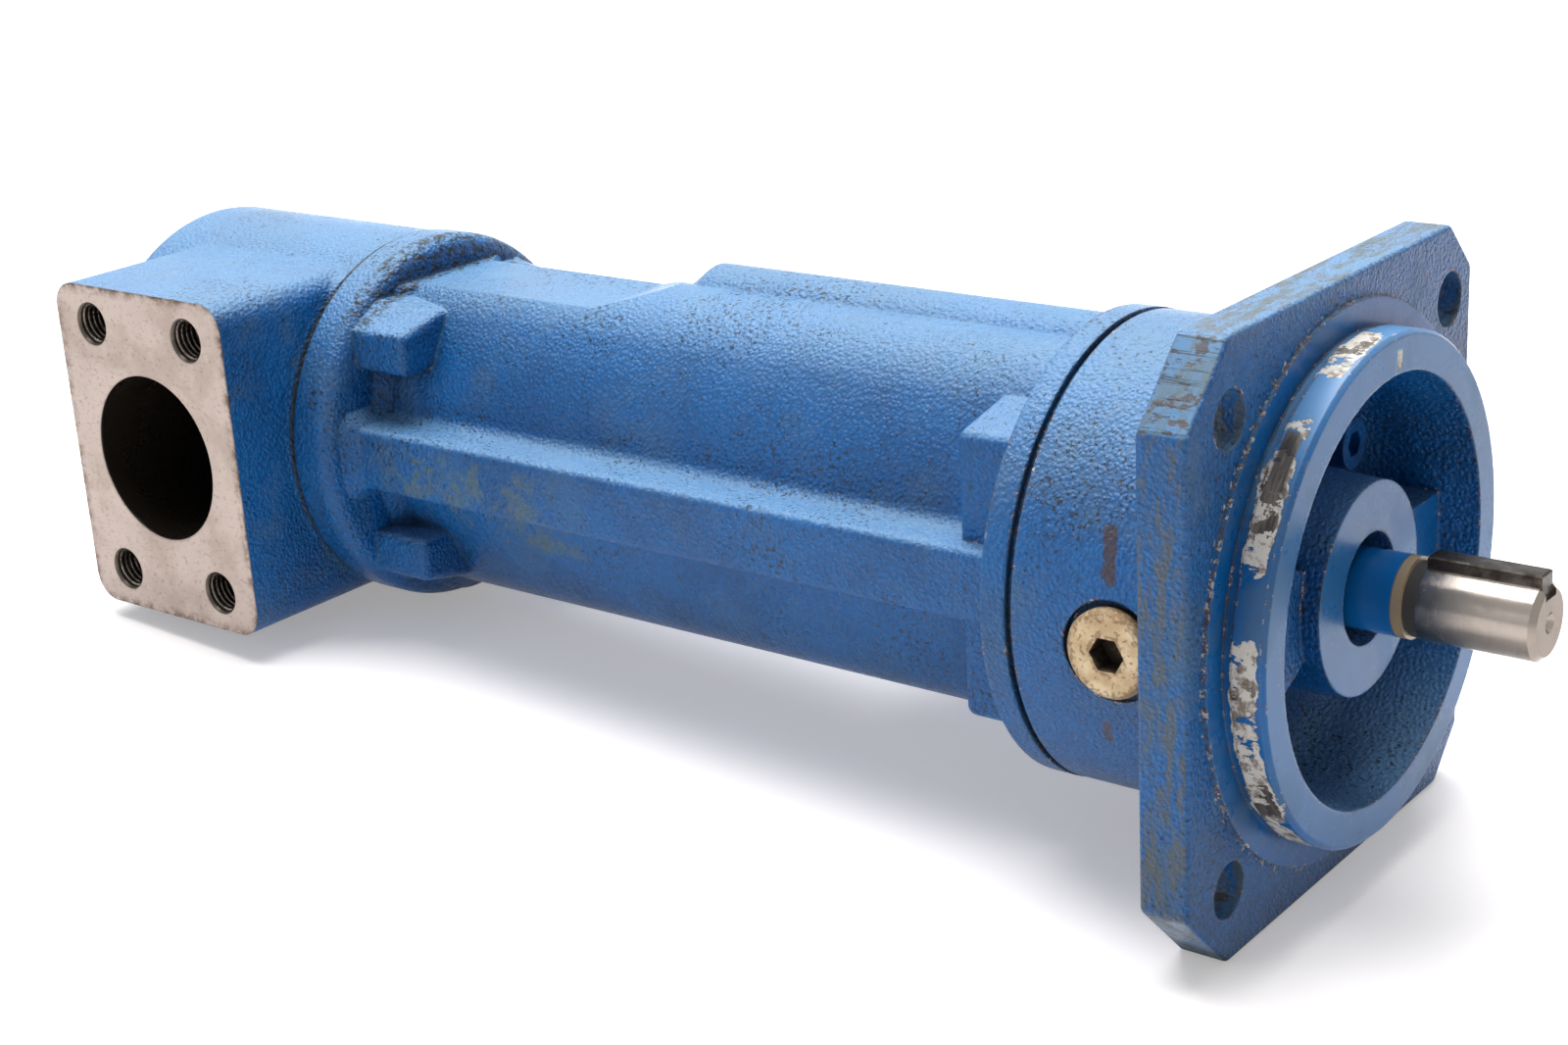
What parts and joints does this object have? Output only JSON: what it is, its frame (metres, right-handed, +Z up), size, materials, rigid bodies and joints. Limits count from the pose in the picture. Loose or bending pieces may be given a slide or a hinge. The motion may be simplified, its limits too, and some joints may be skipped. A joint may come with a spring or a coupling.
{
  "type": "three-screw pump",
  "caption": "Flange-mounted three-screw oil pump with a keyed drive shaft, a side suction port and a side outlet port on a long cast body.",
  "frame": {"origin": "centre of the flange's turned mounting seat, on the shaft's axis", "axes": "+X along the shaft towards the motor, +Z up, the suction port faces -Y"},
  "size_m": [0.4515, 0.1454, 0.1508],
  "materials": {
    "blue_paint": "glossy blue enamel over sand-cast iron, grimy in its corners",
    "painted_screws": "steel screws painted over with the casting",
    "shaft_steel": "ground steel with a brown-stained end",
    "key_steel": "dark drawn steel",
    "screw_steel": "black-oxide socket screws",
    "zinc_plug": "yellow-zinc plated, speckled",
    "copper_seal": "dull soft copper",
    "bearing_steel": "polished bearing steel",
    "cage_brass": "machined brass",
    "bush_bronze": "bored bronze",
    "plate_iron": "ground grey iron",
    "spring_steel": "bright spring wire and pressed steel",
    "seal_carbon": "lapped carbon graphite",
    "seal_ceramic": "lapped ceramic",
    "black_rubber": "matt nitrile rubber"
  },
  "bodies": {
    "housing": {"front_cover": "blue_paint", "pump_body": "blue_paint", "rear_cover": "blue_paint", "front_cover_screws": "painted_screws", "rear_cover_screws": "screw_steel", "front_o_ring": "black_rubber", "rear_o_ring": "black_rubber", "plug_seal": "copper_seal", "side_plug": "zinc_plug", "thrust_plate": "plate_iron", "rotor_bush": "bush_bronze", "idler_bushes": "bush_bronze", "balance_bush": "bush_bronze", "bearing_outer_ring": "bearing_steel", "bearing_circlip": "spring_steel", "seal_seat": "seal_ceramic", "seat_o_ring": "black_rubber"},
    "rotor": {"power_rotor": "shaft_steel", "shaft_key": "key_steel", "bearing_inner_ring": "bearing_steel", "shaft_circlip": "spring_steel", "seal_ring": "seal_carbon", "seal_bellows": "black_rubber", "seal_retainer": "spring_steel", "seal_spring": "spring_steel"},
    "upper_idler": {"idler_upper": "shaft_steel"},
    "lower_idler": {"idler_lower": "shaft_steel"},
    "ball_set": {"bearing_balls": "bearing_steel", "bearing_cage": "cage_brass"}
  },
  "joints": [
    {"name": "rotor_spin", "type": "hinge", "parent": "housing", "child": "rotor", "pos_m": [0, 0, 0], "axis": [1, 0, 0], "continuous": true},
    {"name": "upper_idler_spin", "type": "hinge", "parent": "housing", "child": "upper_idler", "pos_m": [-0.2, 0, 0.0192], "axis": [1, 0, 0], "continuous": true},
    {"name": "lower_idler_spin", "type": "hinge", "parent": "housing", "child": "lower_idler", "pos_m": [-0.2, 0, -0.0192], "axis": [1, 0, 0], "continuous": true},
    {"name": "ball_set_spin", "type": "hinge", "parent": "housing", "child": "ball_set", "pos_m": [-0.044, 0, 0], "axis": [1, 0, 0], "continuous": true}
  ],
  "couplings": [
    {"joint": "upper_idler_spin", "follows": "rotor_spin", "ratio": -1},
    {"joint": "lower_idler_spin", "follows": "rotor_spin", "ratio": -1},
    {"joint": "ball_set_spin", "follows": "rotor_spin", "ratio": 0.3824}
  ]
}
